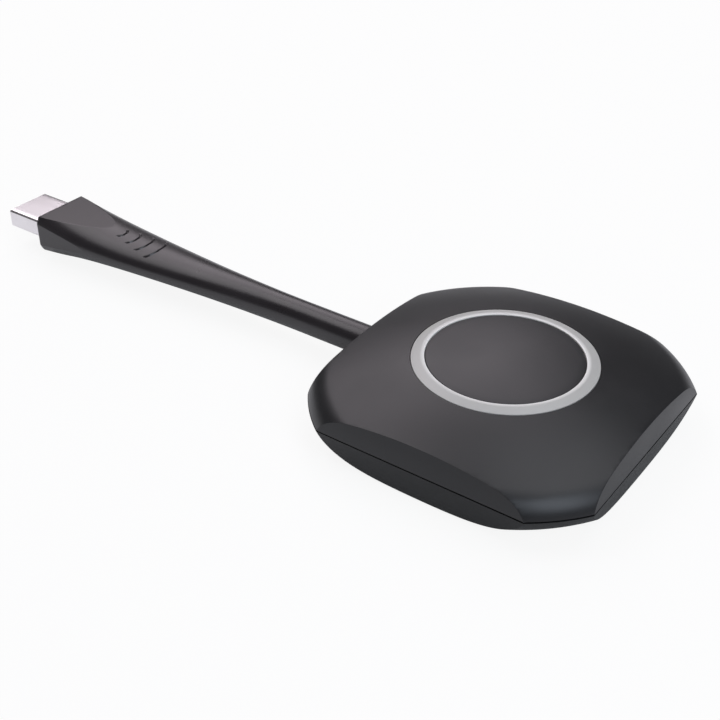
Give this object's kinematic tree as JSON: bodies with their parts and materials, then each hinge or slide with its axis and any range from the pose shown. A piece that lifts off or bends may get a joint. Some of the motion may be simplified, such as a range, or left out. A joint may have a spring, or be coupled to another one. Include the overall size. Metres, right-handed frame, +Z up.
{
  "type": "wireless screen sharing dongle",
  "caption": "Flat domed screen sharing puck with a large push button in a light ring, and a short moulded cable tail that ends in a flat USB-A plug.",
  "frame": {"origin": "centre of the foot pad's underside, on the table under the centre of the round button", "axes": "+Z up through the button, -X along the cable tail to the USB plug, +X to the front of the puck"},
  "size_m": [0.1718, 0.0636, 0.0167],
  "materials": {
    "cover_plastic": "black ABS, fine moulded texture, soft satin",
    "base_plastic": "black ABS, fine moulded texture, satin",
    "button_plastic": "black ABS, fine moulded texture, satin",
    "ring_polycarbonate": "milky diffusing polycarbonate",
    "white_plastic": "white reflector plastic",
    "pad_rubber": "soft anti-slip silicone rubber, matt",
    "tail_elastomer": "black soft PVC overmould, satin",
    "plug_steel": "nickel plated steel sheet, bright satin",
    "plug_plastic": "white insulator plastic",
    "contact_gold": "gold flash over nickel",
    "mould_polyethylene": "natural polyethylene",
    "screw_steel": "zinc plated",
    "switch_plastic": "black nylon",
    "tin_plate": "tin plated steel sheet",
    "spring_steel": "stainless spring sheet",
    "board_laminate": "green solder resist over glass epoxy",
    "antenna_laminate": "black solder resist",
    "chip_epoxy": "moulded epoxy",
    "pad_silicone": "soft heat conducting pad",
    "ferrite": "moulded ferrite",
    "capacitor_ceramic": "fired ceramic",
    "led_package": "clear resin in a white cup",
    "lead_fluoropolymer": "black micro coax",
    "socket_brass": "gold flash",
    "connector_nylon": "natural nylon",
    "wire_red_pvc": "PVC",
    "wire_white_pvc": "PVC",
    "wire_green_pvc": "PVC",
    "wire_black_pvc": "PVC",
    "braid_copper": "tinned copper braid",
    "jacket_pvc": "black PVC jacket"
  },
  "bodies": {
    "body": {"top_shell": "cover_plastic", "bottom_shell": "base_plastic", "foot_pad": "pad_rubber", "case_screws": "screw_steel", "light_ring": "ring_polycarbonate", "ring_reflector": "white_plastic", "reflector_screws": "screw_steel", "ring_leds": "led_package", "switch_housing": "switch_plastic", "switch_cover": "tin_plate", "switch_snap_dome": "spring_steel", "main_board": "board_laminate", "board_screws": "screw_steel", "processor_chip": "chip_epoxy", "thermal_pad": "pad_silicone", "shield_frame": "tin_plate", "shield_lid": "tin_plate", "memory_chips": "chip_epoxy", "wifi_module": "tin_plate", "crystals": "tin_plate", "power_inductors": "ferrite", "board_capacitors": "capacitor_ceramic", "antenna_left": "antenna_laminate", "antenna_right": "antenna_laminate", "antenna_lead_left": "lead_fluoropolymer", "antenna_lead_right": "lead_fluoropolymer", "antenna_sockets": "socket_brass", "wire_header": "connector_nylon", "wire_plug": "connector_nylon", "wire_red": "wire_red_pvc", "wire_white": "wire_white_pvc", "wire_green": "wire_green_pvc", "wire_black": "wire_black_pvc", "cable_braid": "braid_copper", "cable_jacket": "jacket_pvc", "tail_sleeve": "tail_elastomer", "plug_inner_mould": "mould_polyethylene", "usb_shell": "plug_steel", "usb_insulator": "plug_plastic", "usb_contacts": "contact_gold"},
    "button": {"button_cap": "button_plastic", "switch_plunger": "switch_plastic"}
  },
  "joints": [
    {"name": "button_press", "type": "slide", "parent": "body", "child": "button", "axis": [0, 0, -1], "range_m": [0, 0.00035], "stiffness_N_per_m": 4500, "springref_m": -0.0001, "deforming": ["switch_snap_dome"]}
  ]
}
